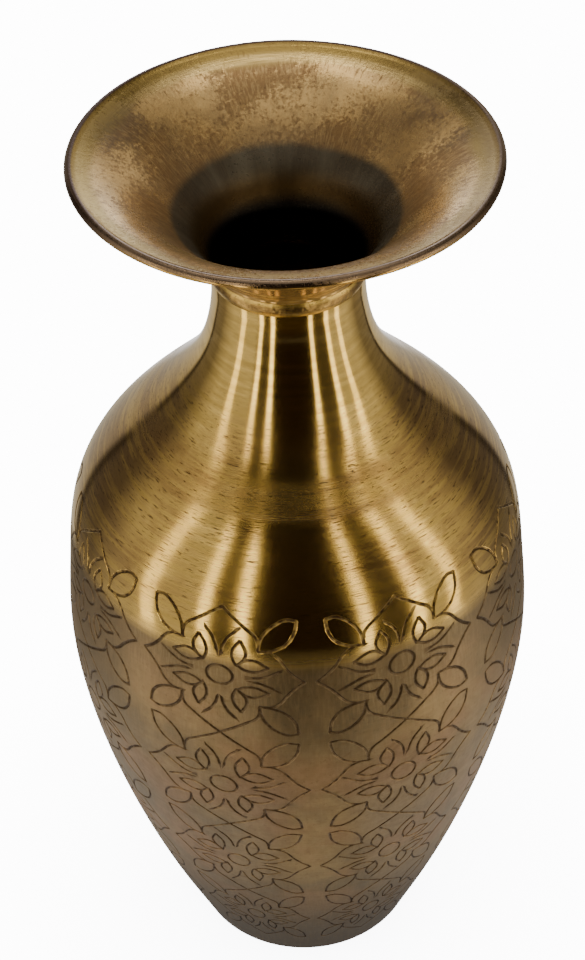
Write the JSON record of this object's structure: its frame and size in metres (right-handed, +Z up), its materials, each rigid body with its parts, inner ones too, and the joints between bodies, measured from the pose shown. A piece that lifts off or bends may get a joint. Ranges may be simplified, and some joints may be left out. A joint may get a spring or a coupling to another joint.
{
  "type": "brass flower vase",
  "caption": "Tall brass vase with a flared mouth, narrow neck and ovoid belly; the lower body is engraved with rows of petal medallions.",
  "frame": {"origin": "centre of the foot's flat resting face", "axes": "+Z up along the vase's axis of turning, towards the mouth; +X and +Y are any two level directions, with -Y towards the viewer"},
  "size_m": [0.1714, 0.1714, 0.36],
  "materials": {
    "engraved_brass": "satin antique brown brass with dark engraved lines",
    "lacquered_brass": "glossy lacquered antique brass, brushed round the axis, brown patina streaks",
    "mouth_brass": "satin brass with mottled brown patina, dark in the throat",
    "braze_filler": "pale braze filler, hand dressed, with dark pits",
    "base_brass": "dull brown brass"
  },
  "bodies": {
    "root": {"belly_shell": "engraved_brass", "shoulder_shell": "lacquered_brass", "shoulder_braze": "braze_filler", "mouth_funnel": "mouth_brass", "neck_braze": "braze_filler", "base_disc": "base_brass", "base_braze": "braze_filler"}
  },
  "joints": []
}
